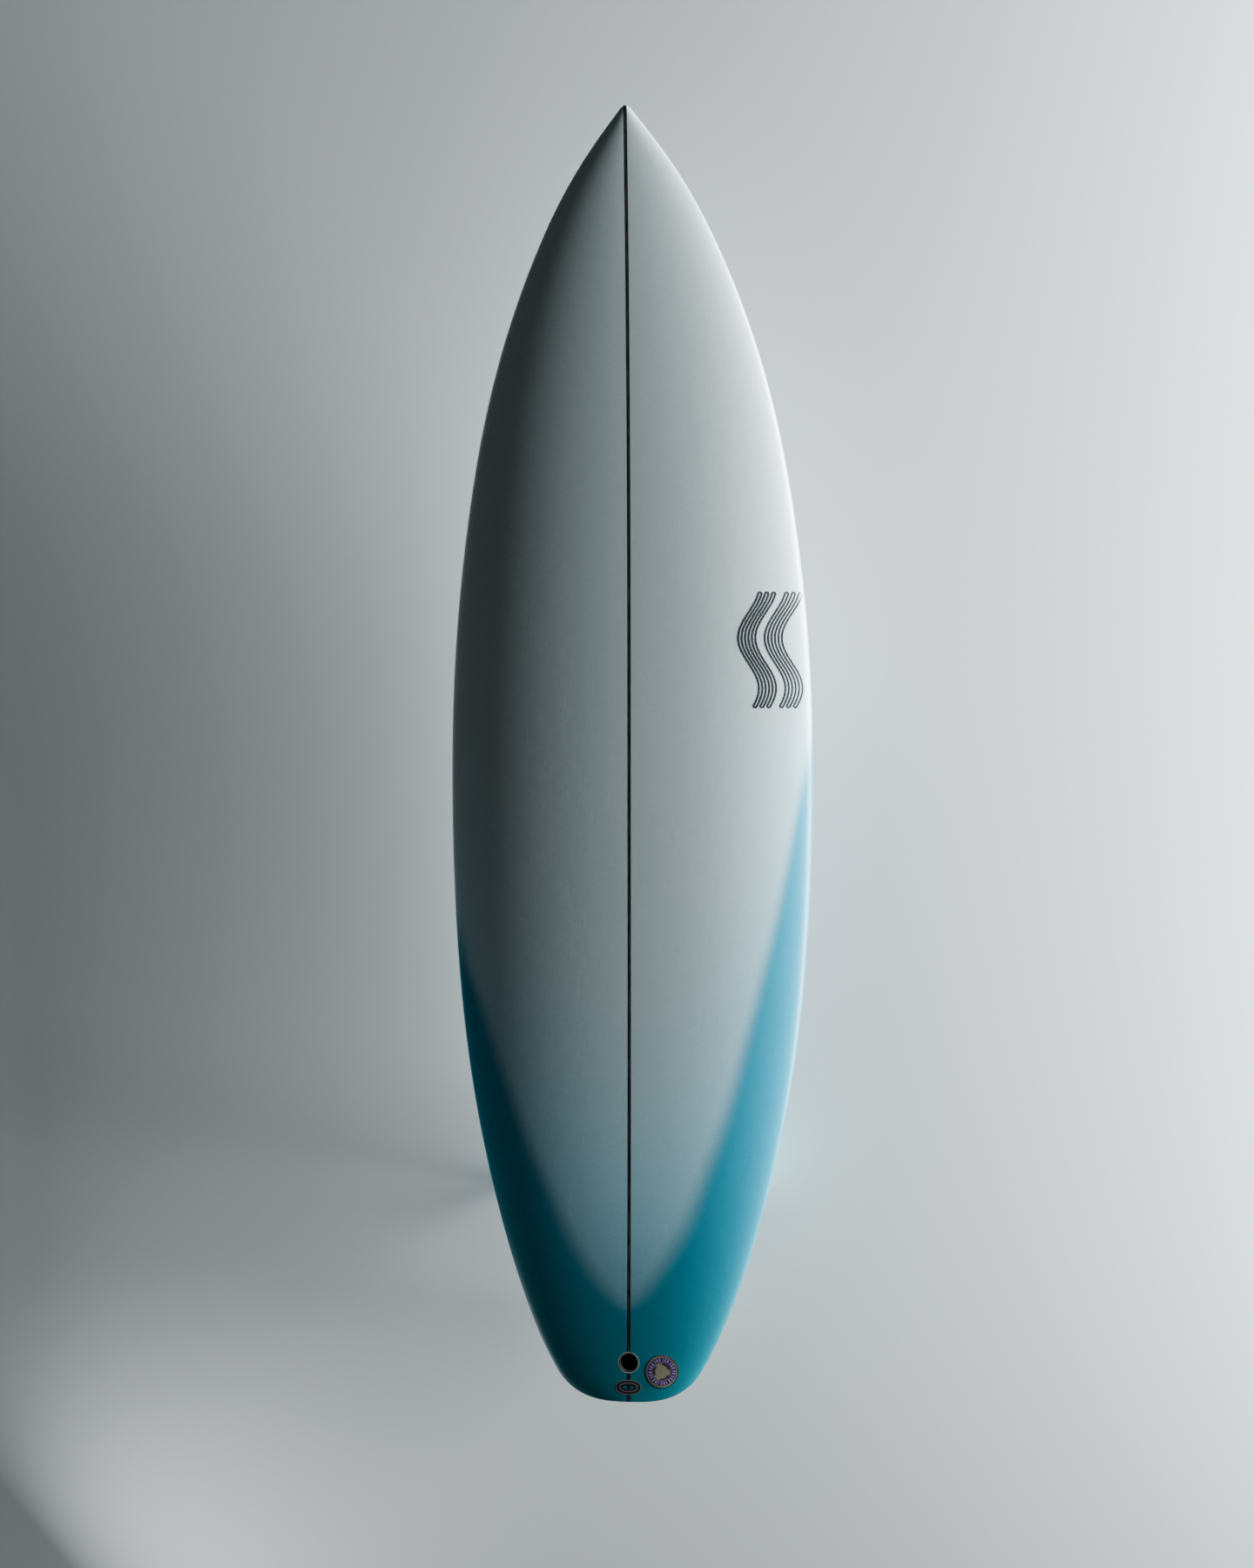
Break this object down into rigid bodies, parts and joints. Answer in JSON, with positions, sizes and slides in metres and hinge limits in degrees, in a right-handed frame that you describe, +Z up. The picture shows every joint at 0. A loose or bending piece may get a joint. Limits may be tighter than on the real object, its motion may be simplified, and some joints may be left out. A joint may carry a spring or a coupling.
{
  "type": "shortboard surfboard",
  "caption": "Shortboard surfboard with a rounded squash tail, a foam core on a wooden stringer, glass skins, a leash plug and removable fins.",
  "frame": {"origin": "under the middle of the board's length and width, level with the tips of the side fins", "axes": "+Y from tail to nose, +Z up out of the deck, +X to the board's right-hand rail seen from the tail, deck up"},
  "size_m": [0.495, 1.727, 0.224],
  "materials": {
    "deck_skin": "white glassed deck, sanded satin, fading to teal at the tail and along the rails",
    "bottom_skin": "white glassed bottom with the teal spray wrapping round the rails and over the tail",
    "foam": "fine closed-cell polyurethane foam, matt",
    "stringer_wood": "thin dark-stained ply on edge",
    "plug_black": "black moulded plastic",
    "plug_pin": "dark stainless rod",
    "clear_resin": "cured filled resin, slightly glossy",
    "fin_box_plastic": "black moulded plastic, fine grain",
    "fin_composite": "moulded fibreglass fin, satin",
    "screw_steel": "stainless grub screw",
    "mark_ink": "black print on a thin film",
    "sticker": "printed sand-coloured sticker"
  },
  "bodies": {
    "board": {"deck_glass": "deck_skin", "bottom_glass": "bottom_skin", "foam_core_left": "foam", "foam_core_right": "foam", "stringer": "stringer_wood", "leash_plug_cup": "plug_black", "leash_plug_pin": "plug_pin", "leash_plug_resin": "clear_resin", "fin_box_left": "fin_box_plastic", "fin_box_right": "fin_box_plastic", "fin_box_center": "fin_box_plastic", "fin_box_resin_left": "clear_resin", "fin_box_resin_right": "clear_resin", "fin_box_resin_center": "clear_resin", "deck_mark": "mark_ink", "tail_mark": "mark_ink", "round_sticker": "sticker"},
    "fin_left": {"fin_left": "fin_composite"},
    "fin_screw_left": {"fin_screw_left": "screw_steel"},
    "fin_right": {"fin_right": "fin_composite"},
    "fin_screw_right": {"fin_screw_right": "screw_steel"},
    "fin_center": {"fin_center": "fin_composite"},
    "fin_screw_center": {"fin_screw_center": "screw_steel"}
  },
  "joints": [
    {"name": "fin_left_slide", "type": "slide", "parent": "board", "child": "fin_left", "axis": [-0.1159, -0.076, -0.9903], "range_m": [0, 0.025]},
    {"name": "fin_right_slide", "type": "slide", "parent": "board", "child": "fin_right", "axis": [0.1159, -0.076, -0.9903], "range_m": [0, 0.025]},
    {"name": "fin_center_slide", "type": "slide", "parent": "board", "child": "fin_center", "axis": [0, -0.1242, -0.9923], "range_m": [0, 0.025]},
    {"name": "fin_screw_left_slide", "type": "slide", "parent": "board", "child": "fin_screw_left", "axis": [-0.0574, 0.6507, -0.7572], "range_m": [0, 0.004]},
    {"name": "fin_screw_right_slide", "type": "slide", "parent": "board", "child": "fin_screw_right", "axis": [0.0574, 0.6507, -0.7572], "range_m": [0, 0.004]},
    {"name": "fin_screw_center_slide", "type": "slide", "parent": "board", "child": "fin_screw_center", "axis": [0, 0.6138, -0.7894], "range_m": [0, 0.004]}
  ]
}
